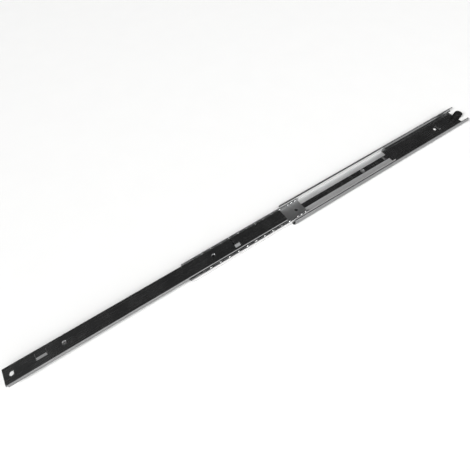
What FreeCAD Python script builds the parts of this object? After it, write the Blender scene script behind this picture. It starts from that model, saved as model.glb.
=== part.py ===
import FreeCAD, Part
import math
import os
import Sketcher
from FreeCAD import Vector

# Full-extension ball-bearing drawer slide, drawn fully extended and lying on its back.
# +X is the opening direction, with X = 0 at the outer member's front mounting hole.
# +Y runs across the slide's height and +Z away from the cabinet side, with Z = 0 at the back face.
# Each member is a strip bent to the section given by its mid-line, so one half is drawn and mirrored.

DRIVING = {
    # overall
    "slide_height": 45.7,
    "slide_depth": 12.7,
    "outer_length": 450,
    "middle_length": 435,
    "inner_length": 450,
    "middle_reach": 193.5,
    "inner_reach": 458,
    # sheet and section
    "outer_depth": 9.65,
    "outer_sheet": 1.2,
    "middle_sheet": 1.2,
    "inner_sheet": 1.2,
    "cage_sheet": 0.6,
    "outer_flank": 50,
    "middle_flank": 72,
    "inner_flank": 65,
    "outer_bend": 1.2,
    "foot_bend": 0.8,
    "inner_bend": 0.9,
    "cage_bend": 0.8,
    "outer_lip_length": 1.136,
    "inner_ball_drop": 4.475,
    "curl_rise": 2.3,
    "skirt_drop": 2.5,
    # balls and cages
    "ball_size": 4.76,
    "race_gap": 0.07,
    "pocket_gap": 0.02,
    "web_gap": 0.1,
    "cage_lift": 0.25,
    "ball_pitch": 16.8,
    "end_margin": 6.5,
    "inner_cage_length": 207,
    "inner_cage_front": 172,
    "inner_cage_rise": 3,
    "cage_hole_size": 6,
    "cage_hole_place": 14.5,
    "outer_cage_length": 243,
    "outer_cage_front": -11,
    "outer_cage_rise": 3.1,
    "cage_end_depth": 12.5,
    "cage_end_rim": 3.5,
    "notch_wall": 0.35,
    "notch_depth": 2.2,
    # outer member features, measured back from its front end
    "outer_hole_size": 6,
    "outer_front_hole": 37,
    "outer_hole_step": 341,
    "outer_tab_length": 6.5,
    "outer_tab_width": 11,
    "outer_tab_rise": 0.5,
    "outer_tab_gap": 2,
    "outer_window_place": 12.5,
    "outer_window_size": 8,
    "outer_web_setback": 8,
    "outer_web_rim": 2.136,
    "outer_slant_length": 4,
    "outer_slant_height": 6,
    "tab_drop": 1.6,
    "tab_slit": 0.8,
    # bumper
    "bumper_size": 15.5,
    "bumper_top": 10.4,
    "bumper_place": 5.5,
    "bumper_slot": 9,
    "bumper_gap": 0.1,
    "bumper_round": 1.5,
    # inner member features, measured back from its front end
    "inner_end_hole": 10,
    "inner_end_hole_size": 6,
    "inner_window_place": 40.5,
    "inner_window_length": 15.5,
    "inner_window_near": 2.6,
    "inner_window_far": 7.4,
    "inner_window_knee": 4,
    "inner_window_drop": 0.95,
    "inner_front_hole": 79,
    "inner_hole_step": 235,
    "inner_hole_size": 4.5,
    "inner_dish": 0.9,
    "inner_stop_place": 350,
    "inner_stop_length": 11,
    "inner_stop_width": 7,
    "inner_stop_offset": 1,
    "inner_slit_far": 8.5,
    "inner_slit_width": 1.8,
    "stop_drop": 1.85,
    # intermediate member features, measured back from the outer member's front end
    "access_hole_place": 177,
    "access_hole_size": 9,
    "middle_stop_inset": 6,
    "middle_stop_length": 6,
    "middle_stop_width": 8,
    # how far a cut runs past the edge that it opens
    "overrun": 1,
}

BALL_GROUPS = 4
PLAIN_PITCHES = 3
TOLERANCE = 0.01


def dim(name):
    return "Dims." + name


def make_sheet(doc):
    sheet = doc.addObject("Spreadsheet::Sheet", "Dims")
    for row, (alias, value) in enumerate(DRIVING.items(), start=1):
        sheet.set("A%d" % row, alias)
        sheet.set("B%d" % row, str(value))
        sheet.setAlias("B%d" % row, alias)
    doc.recompute()
    return sheet


# ---------------------------------------------------------------- section values, as expressions

def half_sheet(member):
    return "%s / 2" % dim(member + "_sheet")


OUTER_REAR_X = "(%s - %s)" % (dim("outer_front_hole"), dim("outer_length"))
BALL_RADIUS = "%s / 2" % dim("ball_size")


def race_radius(member):
    """Mid-line radius of a member's ball race."""
    return "(%s + %s + %s)" % (BALL_RADIUS, dim("race_gap"), half_sheet(member))


OUTER_BALL_Y = "(%s / 2 - %s - %s)" % (dim("slide_height"), half_sheet("outer"), race_radius("outer"))
OUTER_BALL_Z = "(%s / 2)" % dim("outer_depth")
OUTER_CAGE_Z = "(%s + %s + %s)" % (dim("outer_sheet"), dim("web_gap"), half_sheet("cage"))
MIDDLE_WEB_Z = "(%s + %s + %s + %s)" % (
    OUTER_CAGE_Z, half_sheet("cage"), dim("cage_lift"), half_sheet("middle"))
INNER_CAGE_Z = "(%s + %s + %s + %s)" % (
    MIDDLE_WEB_Z, half_sheet("middle"), dim("web_gap"), half_sheet("cage"))
INNER_WEB_Z = "(%s - %s)" % (dim("slide_depth"), half_sheet("inner"))
MIDDLE_WAIST_Y = "(%s - %s / sin(%s * 1 deg))" % (OUTER_BALL_Y, race_radius("middle"), dim("middle_flank"))
INNER_BALL_Z = "(%s - %s)" % (dim("slide_depth"), dim("inner_ball_drop"))
MIDDLE_CURL_Y = "(%s + (%s - %s) / tan(%s * 1 deg))" % (
    MIDDLE_WAIST_Y, INNER_BALL_Z, OUTER_BALL_Z, dim("middle_flank"))
INNER_BALL_Y = "(%s - %s / sin(%s * 1 deg))" % (MIDDLE_CURL_Y, race_radius("middle"), dim("middle_flank"))
INNER_WAIST_Y = "(%s - %s / sin(%s * 1 deg))" % (INNER_BALL_Y, race_radius("inner"), dim("inner_flank"))


def on_flank(y, rise, flank):
    """Y of a point that lies a given rise along a flank that starts at y."""
    return "(%s + (%s) / tan(%s * 1 deg))" % (y, rise, dim(flank))


# ---------------------------------------------------------------- sketch helpers

def origin_plane(body, role):
    for feature in body.Origin.OriginFeatures:
        if feature.Role == role:
            return feature
    raise ValueError("no plane " + role)


def new_sketch(body, name, role):
    sketch = body.newObject("Sketcher::SketchObject", name)
    sketch.AttachmentSupport = [(origin_plane(body, role), "")]
    sketch.MapMode = "FlatFace"
    return sketch


def bind(sketch, constraint, expression):
    index = sketch.addConstraint(constraint)
    sketch.setExpression("Constraints[%d]" % index, expression)
    return index


def number(sketch, expression):
    value = sketch.evalExpression(expression)
    return float(value.Value) if hasattr(value, "Value") else float(value)


def place_point(sketch, geometry, end, across, up):
    """Bind one point to its two coordinates, with a zero kept on the sketch axis."""
    for expression, kind, axis in ((across, "DistanceX", -2), (up, "DistanceY", -1)):
        if expression == "0":
            sketch.addConstraint(Sketcher.Constraint("PointOnObject", geometry, end, axis))
            continue
        value = number(sketch, expression)
        if value < 0:
            bind(sketch, Sketcher.Constraint(kind, geometry, end, -1, 1, -value), "-(%s)" % expression)
        else:
            bind(sketch, Sketcher.Constraint(kind, -1, 1, geometry, end, value), expression)


def offset_side(corners, radii, offset):
    """Lines and tangent arcs of one face of a bent strip, offset to the left of its mid-line."""
    directions = []
    for start, end in zip(corners, corners[1:]):
        directions.append((end - start).normalize())
    normals = [Vector(-d.y, d.x, 0) for d in directions]
    count = len(directions)
    starts = [None] * count
    ends = [None] * count
    starts[0] = corners[0] + normals[0] * offset
    ends[-1] = corners[-1] + normals[-1] * offset
    arcs = []
    for i in range(count - 1):
        turn = directions[i].cross(directions[i + 1]).z
        side = 1 if turn > 0 else -1
        half_turn = math.acos(max(-1.0, min(1.0, directions[i].dot(directions[i + 1])))) / 2
        run = radii[i] * math.tan(half_turn)
        corner = corners[i + 1]
        centre = corner - directions[i] * run + normals[i] * (side * radii[i])
        radius = radii[i] - side * offset
        first = centre - normals[i] * (side * radius)
        second = centre - normals[i + 1] * (side * radius)
        middle = centre - (normals[i] + normals[i + 1]).normalize() * (side * radius)
        ends[i] = first
        starts[i + 1] = second
        arcs.append((first, middle, second, radius, side))
    return starts, ends, arcs


def strip_sketch(body, name, role, corners, radii, sheet):
    """Closed outline of a bent strip, whose mid-line corners, bend radii and sheet are all bound."""
    sketch = new_sketch(body, name, role)
    points = [Vector(number(sketch, a), number(sketch, b), 0) for a, b in corners]
    bends = [number(sketch, r) for r in radii]
    half = number(sketch, sheet) / 2
    guides = []
    for i in range(len(points) - 1):
        guides.append(sketch.addGeometry(Part.LineSegment(points[i], points[i + 1]), True))
    for i, guide in enumerate(guides):
        place_point(sketch, guide, 1, *corners[i])
        if i:
            sketch.addConstraint(Sketcher.Constraint("Coincident", guides[i - 1], 2, guide, 1))
    place_point(sketch, guides[-1], 2, *corners[-1])
    sides = []
    for sign in (1, -1):
        starts, ends, arcs = offset_side(points, bends, sign * half)
        lines = []
        for i in range(len(guides)):
            line = sketch.addGeometry(Part.LineSegment(starts[i], ends[i]))
            sketch.addConstraint(Sketcher.Constraint("Parallel", line, guides[i]))
            bind(sketch, Sketcher.Constraint("Distance", line, 1, guides[i], half), "%s / 2" % sheet)
            lines.append(line)
        for i, (first, middle, second, radius, side) in enumerate(arcs):
            arc = sketch.addGeometry(Part.Arc(first, middle, second))
            # an arc always runs anticlockwise, so its start is its first point only on a left turn
            near, far = (1, 2) if side > 0 else (2, 1)
            sketch.addConstraint(Sketcher.Constraint("Tangent", lines[i], 2, arc, near))
            sketch.addConstraint(Sketcher.Constraint("Tangent", lines[i + 1], 1, arc, far))
            half_text = "%s / 2" % sheet
            grow = "-" if sign * side > 0 else "+"
            bind(sketch, Sketcher.Constraint("Radius", arc, radius), "%s %s %s" % (radii[i], grow, half_text))
        sides.append(lines)
    left, right = sides
    for end, guide in ((1, guides[0]), (2, guides[-1])):
        line = left[0] if end == 1 else left[-1]
        other = right[0] if end == 1 else right[-1]
        a = sketch.getPoint(line, end)
        b = sketch.getPoint(other, end)
        cap = sketch.addGeometry(Part.LineSegment(a, b))
        sketch.addConstraint(Sketcher.Constraint("Coincident", cap, 1, line, end))
        sketch.addConstraint(Sketcher.Constraint("Coincident", cap, 2, other, end))
        sketch.addConstraint(Sketcher.Constraint("Perpendicular", cap, guide))
        sketch.addConstraint(Sketcher.Constraint("PointOnObject", guide, end, cap))
    return sketch


def rectangle_sketch(body, name, role, x_low, x_high, y_low, y_high):
    sketch = new_sketch(body, name, role)
    x0, x1, y0, y1 = (number(sketch, e) for e in (x_low, x_high, y_low, y_high))
    corners = [Vector(x0, y0, 0), Vector(x1, y0, 0), Vector(x1, y1, 0), Vector(x0, y1, 0)]
    lines = []
    for i in range(4):
        lines.append(sketch.addGeometry(Part.LineSegment(corners[i], corners[(i + 1) % 4])))
    for i in range(4):
        sketch.addConstraint(Sketcher.Constraint("Coincident", lines[i], 2, lines[(i + 1) % 4], 1))
    for i in (0, 2):
        sketch.addConstraint(Sketcher.Constraint("Horizontal", lines[i]))
        sketch.addConstraint(Sketcher.Constraint("Vertical", lines[i + 1]))
    place_point(sketch, lines[0], 1, x_low, y_low)
    place_point(sketch, lines[2], 1, x_high, y_high)
    return sketch


def slant_sketch(body, name, x_end, z_top):
    """Triangle that takes the lip's corner off a member's front end."""
    sketch = new_sketch(body, name, "XZ_Plane")
    points = [("%s - %s" % (x_end, dim("outer_slant_length")), "%s + %s" % (z_top, dim("overrun"))),
              (x_end, "%s - %s" % (z_top, dim("outer_slant_height"))),
              ("%s + %s" % (x_end, dim("overrun")), "%s + %s" % (z_top, dim("overrun")))]
    places = [Vector(number(sketch, a), number(sketch, b), 0) for a, b in points]
    lines = []
    for i in range(3):
        lines.append(sketch.addGeometry(Part.LineSegment(places[i], places[(i + 1) % 3])))
    for i in range(3):
        sketch.addConstraint(Sketcher.Constraint("Coincident", lines[i], 2, lines[(i + 1) % 3], 1))
        place_point(sketch, lines[i], 1, *points[i])
    return sketch


def circle_sketch(body, name, role, centres, radius):
    sketch = new_sketch(body, name, role)
    for across, up in centres:
        centre = Vector(number(sketch, across), number(sketch, up), 0)
        circle = sketch.addGeometry(Part.Circle(centre, Vector(0, 0, 1), number(sketch, radius)))
        place_point(sketch, circle, 3, across, up)
        bind(sketch, Sketcher.Constraint("Radius", circle, number(sketch, radius)), radius)
    return sketch


# ---------------------------------------------------------------- feature helpers

def new_body(doc, label, place_x):
    body = doc.addObject("PartDesign::Body", label)
    body.Label = label
    body.setExpression("Placement.Base.x", place_x)
    return body


def pad(body, sketch, length, symmetric=False):
    feature = body.newObject("PartDesign::Pad", sketch.Name + "_pad")
    feature.Profile = sketch
    feature.setExpression("Length", length)
    feature.Midplane = symmetric
    body.Document.recompute()
    return feature


def cut(body, sketch):
    """Cut a sketch right through the body, both ways from its plane."""
    before = body.Tip.Shape.Volume
    feature = body.newObject("PartDesign::Pocket", sketch.Name + "_cut")
    feature.Profile = sketch
    feature.Type = "ThroughAll"
    feature.Midplane = True
    body.Document.recompute()
    if feature.Shape.Volume > before - TOLERANCE:
        raise ValueError(sketch.Name + " cuts nothing")
    return feature


def cut_up(body, sketch, height):
    """Cut a sketch from its plane up to a height."""
    before = body.Tip.Shape.Volume
    feature = body.newObject("PartDesign::Pocket", sketch.Name + "_cut")
    feature.Profile = sketch
    feature.Type = "Length"
    feature.setExpression("Length", height)
    feature.Reversed = True
    body.Document.recompute()
    if feature.Shape.Volume > before - TOLERANCE:
        raise ValueError(sketch.Name + " cuts nothing")
    return feature


def mirror(body, originals, role="XZ_Plane"):
    feature = body.newObject("PartDesign::Mirrored", body.Name + "_mirror_" + originals[0].Name)
    feature.Originals = originals
    feature.MirrorPlane = (origin_plane(body, role), [""])
    body.Tip = feature
    body.Document.recompute()
    return feature


def rolled_body(doc, label, corners, radii, sheet, length, place_x):
    """A strip bent along its mid-line, drawn for the +Y half and mirrored."""
    body = new_body(doc, label, place_x)
    sketch = strip_sketch(body, label + "_section", "YZ_Plane", corners, radii, sheet)
    base = pad(body, sketch, length)
    mirror(body, [base])
    return body


def half_of(value):
    return "%s / 2" % value


def lanced_tab(body, name, x_root, length, y_low, y_high, web_z, drop, sheet):
    """A window cut in the web, and its tab bent from the window's low-X edge (a minus drop bends up)."""
    window = rectangle_sketch(body, name + "_window", "XY_Plane", x_root, "%s + %s" % (x_root, length),
                              y_low, y_high)
    cut(body, window)
    root = "%s - %s" % (x_root, half_of(sheet))
    knee = "%s + %s" % (x_root, sheet)
    tip = "%s + %s - %s" % (x_root, length, sheet)
    corners = [(root, web_z), (knee, web_z), (tip, "%s - %s" % (web_z, drop))]
    profile = strip_sketch(body, name + "_profile", "XZ_Plane", corners, [sheet], sheet)
    # the XZ plane's normal points to -Y, so the offset that centres the tab is reversed
    profile.setExpression("AttachmentOffset.Base.z", "-(%s + %s) / 2" % (y_low, y_high))
    width = "%s - (%s) - 2 * %s" % (y_high, y_low, dim("tab_slit"))
    return pad(body, profile, width, symmetric=True)


def side_tab(body, name, x_low, length, y_low, y_high, web_z, drop, bend_y, sheet):
    """A window cut in the web, and its tab, which leaves the -Y edge flat and bends down at bend_y."""
    window = rectangle_sketch(body, name + "_window", "XY_Plane", x_low, "%s + %s" % (x_low, length),
                              y_low, y_high)
    cut(body, window)
    root = "%s - %s" % (y_low, half_of(sheet))
    tip = "%s - %s" % (y_high, dim("tab_slit"))
    corners = [(root, web_z), (bend_y, web_z), (tip, "%s - %s" % (web_z, drop))]
    profile = strip_sketch(body, name + "_profile", "YZ_Plane", corners, [sheet], sheet)
    profile.setExpression("AttachmentOffset.Base.z", "%s + %s / 2" % (x_low, length))
    return pad(body, profile, "%s - 2 * %s" % (length, dim("tab_slit")), symmetric=True)


# ---------------------------------------------------------------- members

def outer_member(doc):
    half = half_sheet("outer")
    apex_y = "(%s + %s / sin(%s * 1 deg))" % (OUTER_BALL_Y, race_radius("outer"), dim("outer_flank"))
    corner_y = "(%s - (%s - %s) / tan(%s * 1 deg))" % (apex_y, OUTER_BALL_Z, half, dim("outer_flank"))
    lip_z = "(%s - %s)" % (dim("outer_depth"), half)
    lip_end = "(%s - %s)" % (corner_y, dim("outer_lip_length"))
    corners = [("0", half), (corner_y, half), (apex_y, OUTER_BALL_Z), (corner_y, lip_z), (lip_end, lip_z)]
    radii = [dim("outer_bend"), race_radius("outer"), dim("outer_bend")]
    body = rolled_body(doc, "outer_member", corners, radii, dim("outer_sheet"),
                       dim("outer_length"), OUTER_REAR_X)
    length = dim("outer_length")
    front_hole = "%s - %s" % (length, dim("outer_front_hole"))
    rear_hole = "%s - %s" % (front_hole, dim("outer_hole_step"))
    holes = circle_sketch(body, "outer_holes", "XY_Plane", [(front_hole, "0"), (rear_hole, "0")],
                          "%s / 2" % dim("outer_hole_size"))
    cut(body, holes)
    window_size = dim("outer_window_size")
    window_root = "%s - %s - %s" % (length, dim("outer_window_place"), window_size)
    lanced_tab(body, "outer_front_tab", window_root, window_size, "-" + half_of(window_size),
               half_of(window_size), half, "-" + dim("outer_tab_rise"), dim("outer_sheet"))
    tab_width = dim("outer_tab_width")
    tab_root = "%s - %s / 2 - %s - %s" % (rear_hole, dim("outer_hole_size"), dim("outer_tab_gap"),
                                          dim("outer_tab_length"))
    lanced_tab(body, "outer_rear_tab", tab_root, dim("outer_tab_length"), "-" + half_of(tab_width),
               half_of(tab_width), half, "-" + dim("outer_tab_rise"), dim("outer_sheet"))
    slant = slant_sketch(body, "outer_front_slant", length, dim("outer_depth"))
    cut(body, slant)
    web_half = "(%s - %s)" % (corner_y, dim("outer_web_rim"))
    setback = rectangle_sketch(body, "outer_rear_cut", "XY_Plane", "-" + dim("overrun"),
                               dim("outer_web_setback"), "-" + web_half, web_half)
    cut(body, setback)
    slot_end = "%s + %s / 2 + %s" % (dim("bumper_place"), dim("bumper_size"), dim("bumper_gap"))
    slot = rectangle_sketch(body, "outer_bumper_slot", "XY_Plane", "0", slot_end,
                            "-" + half_of(dim("bumper_slot")), half_of(dim("bumper_slot")))
    cut(body, slot)
    return body


def intermediate_member(doc):
    foot_y = on_flank(MIDDLE_WAIST_Y, "%s - %s" % (OUTER_BALL_Z, MIDDLE_WEB_Z), "middle_flank")
    tip_y = "(%s - %s / tan(%s * 1 deg))" % (MIDDLE_CURL_Y, dim("curl_rise"), dim("middle_flank"))
    tip_z = "(%s + %s)" % (INNER_BALL_Z, dim("curl_rise"))
    corners = [("0", MIDDLE_WEB_Z), (foot_y, MIDDLE_WEB_Z), (MIDDLE_WAIST_Y, OUTER_BALL_Z),
               (MIDDLE_CURL_Y, INNER_BALL_Z), (tip_y, tip_z)]
    radii = [dim("foot_bend"), race_radius("middle"), race_radius("middle")]
    rear = "(%s + %s - %s)" % (dim("outer_front_hole"), dim("middle_reach"), dim("middle_length"))
    body = rolled_body(doc, "intermediate_member", corners, radii, dim("middle_sheet"),
                       dim("middle_length"), rear)
    hole = "%s - %s - %s" % (dim("outer_front_hole"), dim("access_hole_place"), rear)
    access = circle_sketch(body, "access_hole", "XY_Plane", [(hole, "0")], "%s / 2" % dim("access_hole_size"))
    cut(body, access)
    width = dim("middle_stop_width")
    stop_length = dim("middle_stop_length")
    for name, root in (("rear_stop", dim("middle_stop_inset")),
                       ("front_stop", "%s - %s - %s" % (dim("middle_length"), dim("middle_stop_inset"),
                                                        stop_length))):
        lanced_tab(body, name, root, stop_length, "-" + half_of(width), half_of(width), MIDDLE_WEB_Z,
                   "-" + dim("tab_drop"), dim("middle_sheet"))
    return body


def inner_member(doc):
    corner_y = on_flank(INNER_WAIST_Y, "%s - %s" % (INNER_WEB_Z, INNER_BALL_Z), "inner_flank")
    skirt_y = on_flank(INNER_WAIST_Y, dim("skirt_drop"), "inner_flank")
    skirt_z = "(%s - %s)" % (INNER_BALL_Z, dim("skirt_drop"))
    corners = [("0", INNER_WEB_Z), (corner_y, INNER_WEB_Z), (INNER_WAIST_Y, INNER_BALL_Z),
               (skirt_y, skirt_z)]
    radii = [dim("inner_bend"), race_radius("inner")]
    body = rolled_body(doc, "inner_member", corners, radii, dim("inner_sheet"),
                       dim("inner_length"),
                       "%s + %s - %s" % (dim("outer_front_hole"), dim("inner_reach"), dim("inner_length")))
    length = dim("inner_length")
    end_hole = circle_sketch(body, "inner_end_hole", "XY_Plane",
                             [("%s - %s" % (length, dim("inner_end_hole")), "0")],
                             "%s / 2" % dim("inner_end_hole_size"))
    cut(body, end_hole)
    front_hole = "%s - %s" % (length, dim("inner_front_hole"))
    screw_holes = circle_sketch(body, "inner_screw_holes", "XY_Plane",
                                [(front_hole, "0"), ("%s - %s" % (front_hole, dim("inner_hole_step")), "0")],
                                "%s / 2" % dim("inner_hole_size"))
    drilled = cut(body, screw_holes)
    radius = number(screw_holes, "%s / 2" % dim("inner_hole_size"))
    top = drilled.Shape.BoundBox.ZMax
    rims = ["Edge%d" % i for i, edge in enumerate(drilled.Shape.Edges, start=1)
            if edge.BoundBox.ZMin > top - TOLERANCE and abs(edge.BoundBox.XLength - 2 * radius) < TOLERANCE]
    dish = body.newObject("PartDesign::Chamfer", "inner_screw_dishes")
    dish.Base = (drilled, rims)
    dish.setExpression("Size", dim("inner_dish"))
    body.Tip = dish
    doc.recompute()
    window_low = "%s - %s - %s" % (length, dim("inner_window_place"), dim("inner_window_length"))
    side_tab(body, "inner_window", window_low, dim("inner_window_length"), "-" + dim("inner_window_far"),
             dim("inner_window_near"), INNER_WEB_Z, dim("inner_window_drop"),
             "%s - %s" % (dim("inner_window_near"), dim("inner_window_knee")), dim("inner_sheet"))
    stop_root = "%s - %s - %s" % (length, dim("inner_stop_place"), dim("inner_stop_length"))
    stop_low = dim("inner_stop_offset")
    stop_high = "%s + %s" % (stop_low, dim("inner_stop_width"))
    side_tab(body, "inner_stop", stop_root, dim("inner_stop_length"), stop_low, stop_high,
             INNER_WEB_Z, dim("stop_drop"), "%s + %s" % (stop_low, dim("inner_sheet")), dim("inner_sheet"))
    slit_end = "%s + %s" % (stop_root, dim("inner_stop_length"))
    slit = rectangle_sketch(body, "inner_stop_slit", "XY_Plane",
                            "%s - %s" % (slit_end, dim("inner_slit_width")), slit_end,
                            "-" + dim("inner_slit_far"), "%s + %s" % (stop_low, dim("tab_slit")))
    cut(body, slit)
    return body


# ---------------------------------------------------------------- cages and balls

def stations(length_name):
    """Steps of half a pitch at which balls sit, from the cage's rear end: close at first, then wide."""
    steps = [0, 1]
    usable = DRIVING[length_name] - 2 * DRIVING["end_margin"]
    step = 2
    while step * DRIVING["ball_pitch"] / 2 <= usable:
        steps.append(step)
        step += 2
    return steps


def station_x(step):
    return "%s + %s / 2 * %s" % (dim("end_margin"), dim("ball_pitch"), step)


def ball_cage(doc, label, wall_y, web_z, ball_z, rise, length_name, front):
    """U-shaped strip whose two walls hold the balls in round pockets."""
    top_z = "(%s + %s)" % (ball_z, dim(rise))
    corners = [("0", web_z), (wall_y, web_z), (wall_y, top_z)]
    rear = "(%s + %s - %s)" % (dim("outer_front_hole"), dim(front), dim(length_name))
    body = rolled_body(doc, label, corners, [dim("cage_bend")], dim("cage_sheet"), dim(length_name), rear)
    steps = stations(length_name)
    pockets = circle_sketch(body, label + "_pockets", "XZ_Plane", [(station_x(i), ball_z) for i in steps],
                            "(%s + %s)" % (BALL_RADIUS, dim("pocket_gap")))
    cut(body, pockets)
    return body


def notch_cage(body, label, ball_z, rise, length_name):
    """Notches in the top edges of a cage's walls, midway between neighbouring balls."""
    top_z = "(%s + %s)" % (ball_z, dim(rise))
    steps = stations(length_name)
    # the closest pockets are half a pitch apart, and the notch between them leaves a wall on each side
    width = "(%s / 2 - %s - 2 * %s - 2 * %s)" % (dim("ball_pitch"), dim("ball_size"), dim("pocket_gap"),
                                                 dim("notch_wall"))
    notched = steps[:len(steps) - PLAIN_PITCHES + 1]
    for index, (first, second) in enumerate(zip(notched, notched[1:])):
        middle = station_x((first + second) / 2)
        notch = rectangle_sketch(body, "%s_notch_%d" % (label, index + 1), "XZ_Plane",
                                 "%s - %s / 2" % (middle, width),
                                 "%s + %s / 2" % (middle, width),
                                 "%s - %s" % (top_z, dim("notch_depth")),
                                 "%s + %s" % (top_z, dim("overrun")))
        cut(body, notch)


def cage_holes(body, label, length_name):
    """A round hole near each end of a cage's web."""
    place = dim("cage_hole_place")
    holes = circle_sketch(body, label + "_holes", "XY_Plane",
                          [(place, "0"), ("%s - %s" % (dim(length_name), place), "0")],
                          half_of(dim("cage_hole_size")))
    cut(body, holes)


def cage_end_cuts(body, label, wall_y, length_name):
    """The web cut back at both ends of a cage, so that only its walls reach the end."""
    half_width = "(%s - %s)" % (wall_y, dim("cage_end_rim"))
    depth = dim("cage_end_depth")
    past = dim("overrun")
    front_low = "%s - %s" % (dim(length_name), depth)
    front_high = "%s + %s" % (dim(length_name), past)
    for name, low, high in (("rear", "-" + past, depth), ("front", front_low, front_high)):
        end = rectangle_sketch(body, "%s_%s_end" % (label, name), "XY_Plane", low, high,
                               "-" + half_width, half_width)
        cut(body, end)


def ball_rows(doc, prefix, ball_y, ball_z, length_name, front):
    """Balls of both rows, in groups that each hold neighbouring balls."""
    places = [station_x(step) for step in stations(length_name)]
    rear = "(%s + %s - %s)" % (dim("outer_front_hole"), dim(front), dim(length_name))
    groups = []
    for side, sign in (("near", ""), ("far", "-")):
        for index in range(BALL_GROUPS):
            first = index * len(places) // BALL_GROUPS
            last = (index + 1) * len(places) // BALL_GROUPS
            chosen = places[first:last]
            label = "%s_balls_%s_%d" % (prefix, side, index + 1)
            balls = []
            for number_in_group, place in enumerate(chosen, start=1):
                ball = doc.addObject("Part::Sphere", "%s_ball_%d" % (label, number_in_group))
                ball.setExpression("Radius", BALL_RADIUS)
                ball.setExpression("Placement.Base.x", "%s + %s" % (rear, place))
                ball.setExpression("Placement.Base.y", sign + ball_y)
                ball.setExpression("Placement.Base.z", ball_z)
                balls.append(ball)
            group = doc.addObject("Part::Compound", label)
            group.Label = label
            group.Links = balls
            groups.append(group)
    return groups


# ---------------------------------------------------------------- bumper

def rear_bumper(doc):
    """Rubber button on the rear end of the outer web, with a neck pressed into the web's slot."""
    place_x = "%s + %s" % (OUTER_REAR_X, dim("bumper_place"))
    body = new_body(doc, "rear_bumper", place_x)
    block = circle_sketch(body, "bumper_block", "XY_Plane", [("0", "0")], "%s / 2" % dim("bumper_size"))
    block.setExpression("AttachmentOffset.Base.z", dim("bumper_gap"))
    pad(body, block, "%s - %s" % (dim("bumper_top"), dim("bumper_gap")))
    web_end = "%s - %s - %s" % (dim("outer_web_setback"), dim("bumper_place"), dim("bumper_gap"))
    neck = "%s / 2 - %s" % (dim("bumper_slot"), dim("bumper_gap"))
    shelf = rectangle_sketch(body, "bumper_shelf", "XY_Plane", web_end, dim("bumper_size"),
                             neck, dim("bumper_size"))
    notch = cut_up(body, shelf, dim("outer_sheet"))
    base = mirror(body, [notch])
    top = base.Shape.BoundBox.ZMax
    rim = ["Edge%d" % i for i, edge in enumerate(base.Shape.Edges, start=1)
           if edge.BoundBox.ZMin > top - TOLERANCE]
    fillet = body.newObject("PartDesign::Fillet", "bumper_fillet")
    fillet.Base = (base, rim)
    fillet.setExpression("Radius", dim("bumper_round"))
    body.Tip = fillet
    doc.recompute()
    return body


# ---------------------------------------------------------------- checks and export

def check_shapes(doc, parts):
    for item in doc.Objects:
        for state in item.State:
            if state in ("Invalid", "Error"):
                raise ValueError("%s is %s" % (item.Name, state))
    for part in parts:
        if part.Shape.isNull() or not part.Shape.isValid():
            raise ValueError(part.Label + " has a bad shape")


def main():
    doc = FreeCAD.newDocument("drawer_slide")
    make_sheet(doc)
    parts = [outer_member(doc), intermediate_member(doc), inner_member(doc)]
    outer_cage = ball_cage(doc, "outer_ball_cage", OUTER_BALL_Y, OUTER_CAGE_Z, OUTER_BALL_Z,
                           "outer_cage_rise", "outer_cage_length", "outer_cage_front")
    cage_end_cuts(outer_cage, "outer_cage", OUTER_BALL_Y, "outer_cage_length")
    inner_cage = ball_cage(doc, "inner_ball_cage", INNER_BALL_Y, INNER_CAGE_Z, INNER_BALL_Z,
                           "inner_cage_rise", "inner_cage_length", "inner_cage_front")
    notch_cage(inner_cage, "inner_cage", INNER_BALL_Z, "inner_cage_rise", "inner_cage_length")
    cage_holes(inner_cage, "inner_cage", "inner_cage_length")
    parts += [outer_cage, inner_cage]
    parts += ball_rows(doc, "outer", OUTER_BALL_Y, OUTER_BALL_Z, "outer_cage_length", "outer_cage_front")
    parts += ball_rows(doc, "inner", INNER_BALL_Y, INNER_BALL_Z, "inner_cage_length", "inner_cage_front")
    parts.append(rear_bumper(doc))
    doc.recompute()
    check_shapes(doc, parts)
    os.makedirs("parts", exist_ok=True)
    for part in parts:
        part.Shape.exportStep("parts/%s.step" % part.Label)
        print(part.Label, len(part.Shape.Solids), round(part.Shape.Volume, 1))


main()
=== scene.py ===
import math

import bpy
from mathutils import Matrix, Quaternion, Vector


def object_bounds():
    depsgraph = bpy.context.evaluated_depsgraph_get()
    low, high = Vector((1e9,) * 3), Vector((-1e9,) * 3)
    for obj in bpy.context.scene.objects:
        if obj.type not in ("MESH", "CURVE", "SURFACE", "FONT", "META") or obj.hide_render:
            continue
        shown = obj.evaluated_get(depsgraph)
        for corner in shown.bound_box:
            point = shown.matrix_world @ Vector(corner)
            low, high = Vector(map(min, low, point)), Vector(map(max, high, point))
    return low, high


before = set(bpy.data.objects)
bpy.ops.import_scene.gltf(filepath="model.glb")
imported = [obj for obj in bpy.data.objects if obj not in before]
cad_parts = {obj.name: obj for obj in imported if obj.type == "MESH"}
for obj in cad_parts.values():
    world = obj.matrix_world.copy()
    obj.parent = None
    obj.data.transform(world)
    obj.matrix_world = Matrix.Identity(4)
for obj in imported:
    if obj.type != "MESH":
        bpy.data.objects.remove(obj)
CAD_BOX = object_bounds()

# The slide lies on its back on a pale table, fully open, with its rear end away from the camera.
MM = 0.001

# camera
CAMERA_PLACE = Vector((0.2606, 0.1935, 0.4380))
CAMERA_AIM = Vector((0.1296, -0.0183, 0.0))
CAMERA_ROLL = math.radians(-1.66)
CAMERA_LENS = 23.38
SENSOR_WIDTH = 36

# table
FLOOR_SIZE = 30
FLOOR_GAP = 0.3 * MM
FLOOR_COLOUR = (0.86, 0.86, 0.855, 1)
FLOOR_MOTTLE = 0.99

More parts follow.
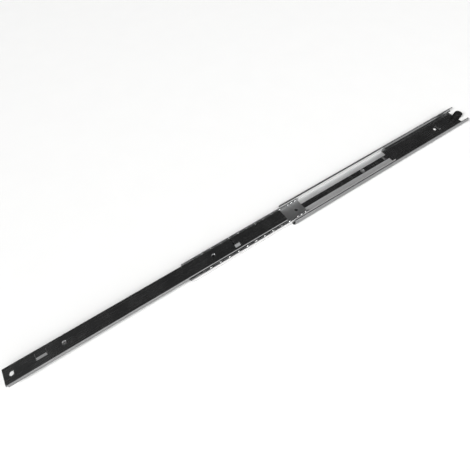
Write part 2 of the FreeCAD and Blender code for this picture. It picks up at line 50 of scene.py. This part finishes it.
# studio light: levels of the dome, and the directions between which each part of it fades
DOME_LEVEL = 1.0
HORIZON_LEVEL = 0.6
DIM_LEVEL = 0.045
DOME_EDGE = (-0.02, 0.22)
HORIZON_EDGE = (0.34, 0.12)
LIGHT_PLACE = (0.05, 1.25, 1.6)
LIGHT_AIM = (0.05, 0.05, 0.0)
LIGHT_SIZE = (2.8, 1.2)
LIGHT_POWER = 11
# the end light shines along the slide, so that the slide casts no shadow beside itself
END_LIGHT_AIM = (-0.86, -0.05, -0.5)
END_LIGHT_SPREAD = 0.3
END_LIGHT_STRENGTH = 3.4

# drawn sheet steel, with lines that run along X; each pair is the darkest and palest tone, or the least and
# greatest roughness
MEMBER_TONES = (0.27, 0.31)
MEMBER_ROUGHNESS = (0.22, 0.27)
CAGE_TONES = (0.36, 0.44)
CAGE_ROUGHNESS = (0.42, 0.5)
GRAIN_ALONG = 14
GRAIN_ACROSS = 2600
GRAIN_DEPTH = 0.25
CLOUD_SCALE = 42
SPECK_SCALE = 2200
EDGE_RADIUS = 0.22 * MM
# painted highlight along the edges: the pale grey tone and how much of it is blended in
EDGE_HIGHLIGHT_LEVEL = 0.62
EDGE_HIGHLIGHT_SHARE = 0.25

# the rougher bands beside the middle strip of the intermediate member's web, painted paler as a painted
# reflection
BAND_SHEEN_LEVEL = 0.8
BAND_ROUGHNESS = 0.30
STRIP_HALF_WIDTH = 4.7 * MM
STRIP_FADE = 0.4 * MM

# balls and bumper
BALL_TONES = (0.42, 0.54)
BALL_ROUGHNESS = (0.16, 0.28)
RUBBER_TONES = (0.004, 0.012)
RUBBER_ROUGHNESS = (0.52, 0.74)
RUBBER_EDGE_RADIUS = 0.5 * MM


# ---------------------------------------------------------------- node helpers

class Nodes:
    """Short calls that add nodes to one material or world and link them."""

    def __init__(self, material):
        material.use_nodes = True
        self.tree = material.node_tree
        self.tree.nodes.clear()

    def add(self, kind, **values):
        node = self.tree.nodes.new(kind)
        for key, value in values.items():
            setattr(node, key, value)
        return node

    def link(self, source, target):
        self.tree.links.new(source, target)

    def feed(self, socket, value):
        if hasattr(value, "is_output"):
            self.link(value, socket)
        else:
            socket.default_value = value

    def math(self, operation, first, second=0.0, clamp=False):
        node = self.add("ShaderNodeMath", operation=operation, use_clamp=clamp)
        self.feed(node.inputs[0], first)
        self.feed(node.inputs[1], second)
        return node.outputs[0]

    def span(self, value, low, high, to_low=0.0, to_high=1.0):
        """Map a value from one range to another, clamped at both ends."""
        node = self.add("ShaderNodeMapRange", clamp=True)
        for index, number in enumerate((value, low, high, to_low, to_high)):
            self.feed(node.inputs[index], number)
        return node.outputs[0]

    def blend(self, factor, first, second):
        node = self.add("ShaderNodeMix", data_type="RGBA")
        self.feed(node.inputs["Factor"], factor)
        self.feed(node.inputs[6], first)
        self.feed(node.inputs[7], second)
        return node.outputs[2]

    def place(self, scale=(1, 1, 1)):
        coordinates = self.add("ShaderNodeTexCoord")
        mapping = self.add("ShaderNodeMapping")
        self.link(coordinates.outputs["Object"], mapping.inputs["Vector"])
        mapping.inputs["Scale"].default_value = scale
        return mapping.outputs["Vector"]

    def noise(self, vector, scale, detail=3.0, roughness=0.5):
        node = self.add("ShaderNodeTexNoise")
        self.link(vector, node.inputs["Vector"])
        node.inputs["Scale"].default_value = scale
        node.inputs["Detail"].default_value = detail
        node.inputs["Roughness"].default_value = roughness
        return node.outputs["Fac"]

    def edge_mask(self, radius):
        """1 along outside and inside edges, 0 on flat faces, with the rounded normal beside it."""
        bevel = self.add("ShaderNodeBevel", samples=4)
        bevel.inputs["Radius"].default_value = radius
        geometry = self.add("ShaderNodeNewGeometry")
        dot = self.add("ShaderNodeVectorMath", operation="DOT_PRODUCT")
        self.link(bevel.outputs["Normal"], dot.inputs[0])
        self.link(geometry.outputs["Normal"], dot.inputs[1])
        return self.span(dot.outputs["Value"], 0.95, 0.70), bevel.outputs["Normal"]

    def bump(self, height, strength, distance, normal=None):
        node = self.add("ShaderNodeBump")
        node.inputs["Strength"].default_value = strength
        node.inputs["Distance"].default_value = distance
        self.link(height, node.inputs["Height"])
        if normal is not None:
            self.link(normal, node.inputs["Normal"])
        return node.outputs["Normal"]

    def finish(self, colour, roughness, normal, metallic=0.0, **sockets):
        shader = self.add("ShaderNodeBsdfPrincipled")
        self.feed(shader.inputs["Base Color"], colour)
        self.feed(shader.inputs["Roughness"], roughness)
        self.feed(shader.inputs["Normal"], normal)
        shader.inputs["Metallic"].default_value = metallic
        for name, value in sockets.items():
            shader.inputs[name.replace("_", " ")].default_value = value
        output = self.add("ShaderNodeOutputMaterial")
        self.link(shader.outputs[0], output.inputs[0])


def grey(level, warmth=0.0):
    return (level * (1 + warmth), level, level * (1 - warmth), 1)


# ---------------------------------------------------------------- materials

def drawn_steel(name, tones, roughness, band=None):
    """Zinc-plated strip: fine drawn lines, faint cloudy plating, and a painted highlight along the edges.
    """
    dark, light = tones
    material = bpy.data.materials.new(name)
    n = Nodes(material)
    lines = n.noise(n.place((GRAIN_ALONG, GRAIN_ACROSS, GRAIN_ACROSS)), 1.0, 4.0, 0.6)
    clouds = n.noise(n.place(), CLOUD_SCALE, 5.0, 0.55)
    specks = n.noise(n.place((0.35, 1, 1)), SPECK_SCALE, 2.0, 0.6)
    colour = n.blend(n.span(clouds, 0.3, 0.7), grey(dark, -0.012), grey(light, -0.006))
    colour = n.blend(n.span(lines, 0.35, 0.7, 0.0, 0.25), colour, grey(light * 1.2))
    colour = n.blend(n.span(specks, 0.66, 0.78, 0.0, 0.3), colour, grey(dark * 0.6, 0.03))
    edges, rounded = n.edge_mask(EDGE_RADIUS)
    # painted highlight: edges blended towards a pale grey
    colour = n.blend(n.math("MULTIPLY", edges, EDGE_HIGHLIGHT_SHARE), colour, grey(EDGE_HIGHLIGHT_LEVEL))
    rough = n.span(clouds, 0.3, 0.75, *roughness)
    rough = n.math("ADD", rough, n.span(lines, 0.3, 0.7, -0.03, 0.05))
    if band is not None:
        # painted reflection: the bands are painted paler, and also made rougher
        matt_and_sheen = band(n)
        colour = n.blend(matt_and_sheen, colour, grey(BAND_SHEEN_LEVEL))
        rough = n.math("ADD", rough, n.math("MULTIPLY", matt_and_sheen, BAND_ROUGHNESS), clamp=True)
    normal = n.bump(lines, GRAIN_DEPTH, 0.02 * MM, rounded)
    normal = n.bump(specks, 0.12, 0.01 * MM, normal)
    n.finish(colour, rough, normal, metallic=1.0)
    return material


def polished_steel(name):
    """Bearing balls: smooth, with a thin uneven film of grease."""
    dark, light = BALL_TONES
    material = bpy.data.materials.new(name)
    n = Nodes(material)
    film = n.noise(n.place(), 620, 4.0, 0.6)
    scratches = n.noise(n.place((1, 3, 1)), 2400, 3.0, 0.7)
    colour = n.blend(n.span(film, 0.35, 0.7), grey(dark, -0.01), grey(light))
    rough = n.span(film, 0.3, 0.7, *BALL_ROUGHNESS)
    n.finish(colour, rough, n.bump(scratches, 0.08, 0.01 * MM), metallic=1.0)
    return material


def black_rubber(name):
    """Moulded rubber: dull, finely pitted, with a little dust, and paler along its rims."""
    dark, dusty = RUBBER_TONES
    material = bpy.data.materials.new(name)
    n = Nodes(material)
    pits = n.noise(n.place(), 2600, 4.0, 0.65)
    dust = n.noise(n.place(), 260, 4.0, 0.6)
    edges, rounded = n.edge_mask(RUBBER_EDGE_RADIUS)
    colour = n.blend(n.span(dust, 0.45, 0.8, 0.0, 0.6), grey(dark), grey(dusty, 0.04))
    # the rims are blended towards a paler grey
    colour = n.blend(n.math("MULTIPLY", edges, 0.4), colour, grey(0.02))
    rough = n.span(pits, 0.3, 0.7, *RUBBER_ROUGHNESS)
    normal = n.bump(pits, 0.35, 0.06 * MM, rounded)
    n.finish(colour, rough, normal, Specular_IOR_Level=0.2)
    return material


def pale_table(name):
    """Plain pale paint, very slightly mottled."""
    material = bpy.data.materials.new(name)
    n = Nodes(material)
    mottle = n.noise(n.place(), 18, 3.0, 0.5)
    darker = tuple(channel * FLOOR_MOTTLE for channel in FLOOR_COLOUR[:3]) + (1,)
    colour = n.blend(n.span(mottle, 0.3, 0.7), FLOOR_COLOUR, darker)
    normal = n.bump(mottle, 0.02, 1 * MM)
    n.finish(colour, 0.7, normal, Specular_IOR_Level=0.25)
    return material


def painted_sheen_bands(n):
    """1 on the bands beside the intermediate member's darker middle strip, which get a painted reflection,
    0 on the strip.
    """
    coordinates = n.add("ShaderNodeTexCoord")
    split = n.add("ShaderNodeSeparateXYZ")
    n.link(coordinates.outputs["Object"], split.inputs[0])
    off_centre = n.math("ABSOLUTE", split.outputs["Y"])
    return n.span(off_centre, STRIP_HALF_WIDTH, STRIP_HALF_WIDTH + STRIP_FADE)


def dress(node, material):
    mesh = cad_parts[node].data
    mesh.materials.clear()
    mesh.materials.append(material)


def dress_all():
    member = drawn_steel("member_steel", MEMBER_TONES, MEMBER_ROUGHNESS)
    # the intermediate member's web carries painted reflection bands beside its middle strip
    middle = drawn_steel("middle_steel", MEMBER_TONES, MEMBER_ROUGHNESS, band=painted_sheen_bands)
    cage = drawn_steel("cage_steel", CAGE_TONES, CAGE_ROUGHNESS)
    ball = polished_steel("ball_steel")
    rubber = black_rubber("bumper_rubber")
    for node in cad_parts:
        if "balls" in node:
            dress(node, ball)
        elif "cage" in node:
            dress(node, cage)
        elif node == "rear_bumper":
            dress(node, rubber)
        elif node == "intermediate_member":
            dress(node, middle)
        else:
            dress(node, member)


# ---------------------------------------------------------------- stage

def make_floor():
    half = FLOOR_SIZE / 2
    mesh = bpy.data.meshes.new("table_top")
    z = CAD_BOX[0][2] - FLOOR_GAP
    corners = [(-half, -half, z), (half, -half, z), (half, half, z), (-half, half, z)]
    mesh.from_pydata(corners, [], [(0, 1, 2, 3)])
    floor = bpy.data.objects.new("table_top", mesh)
    bpy.context.scene.collection.objects.link(floor)
    mesh.materials.append(pale_table("table_paint"))


def add_area(name, place, aim, size, power):
    light = bpy.data.lights.new(name, "AREA")
    light.shape = "RECTANGLE"
    light.size, light.size_y = size
    light.energy = power
    lamp = bpy.data.objects.new(name, light)
    lamp.location = place
    lamp.rotation_euler = (Vector(aim) - Vector(place)).to_track_quat("-Z", "Y").to_euler()
    bpy.context.scene.collection.objects.link(lamp)


def add_sun(name, aim, spread, strength):
    light = bpy.data.lights.new(name, "SUN")
    light.angle = spread
    light.energy = strength
    lamp = bpy.data.objects.new(name, light)
    lamp.rotation_euler = Vector(aim).to_track_quat("-Z", "Y").to_euler()
    bpy.context.scene.collection.objects.link(lamp)


def light_studio():
    """A bright half dome on the camera's side and a bright horizon; the flat webs mirror the dim half."""
    world = bpy.data.worlds.new("studio")
    bpy.context.scene.world = world
    world.use_nodes = True
    n = Nodes(world)
    coordinates = n.add("ShaderNodeTexCoord")
    split = n.add("ShaderNodeSeparateXYZ")
    n.link(coordinates.outputs["Generated"], split.inputs[0])
    near_half = n.span(split.outputs["Y"], *DOME_EDGE)
    horizon = n.span(split.outputs["Z"], *HORIZON_EDGE)
    level = n.math("MAXIMUM", near_half, n.math("MULTIPLY", horizon, HORIZON_LEVEL))
    level = n.math("ADD", n.math("MULTIPLY", level, DOME_LEVEL), DIM_LEVEL)
    background = n.add("ShaderNodeBackground")
    output = n.add("ShaderNodeOutputWorld")
    n.link(level, background.inputs["Color"])
    n.link(background.outputs[0], output.inputs[0])
    add_area("overhead_light", LIGHT_PLACE, LIGHT_AIM, LIGHT_SIZE, LIGHT_POWER)
    add_sun("end_light", END_LIGHT_AIM, END_LIGHT_SPREAD, END_LIGHT_STRENGTH)


def make_camera():
    data = bpy.data.cameras.new("camera")
    data.lens = CAMERA_LENS
    data.sensor_width = SENSOR_WIDTH
    camera = bpy.data.objects.new("camera", data)
    turn = (CAMERA_AIM - CAMERA_PLACE).to_track_quat("-Z", "Y")
    camera.location = CAMERA_PLACE
    camera.rotation_mode = "QUATERNION"
    camera.rotation_quaternion = turn @ Quaternion((0, 0, 1), CAMERA_ROLL)
    bpy.context.scene.collection.objects.link(camera)
    bpy.context.scene.camera = camera


make_camera()
make_floor()
light_studio()
dress_all()
bpy.context.scene.view_settings.view_transform = "Standard"
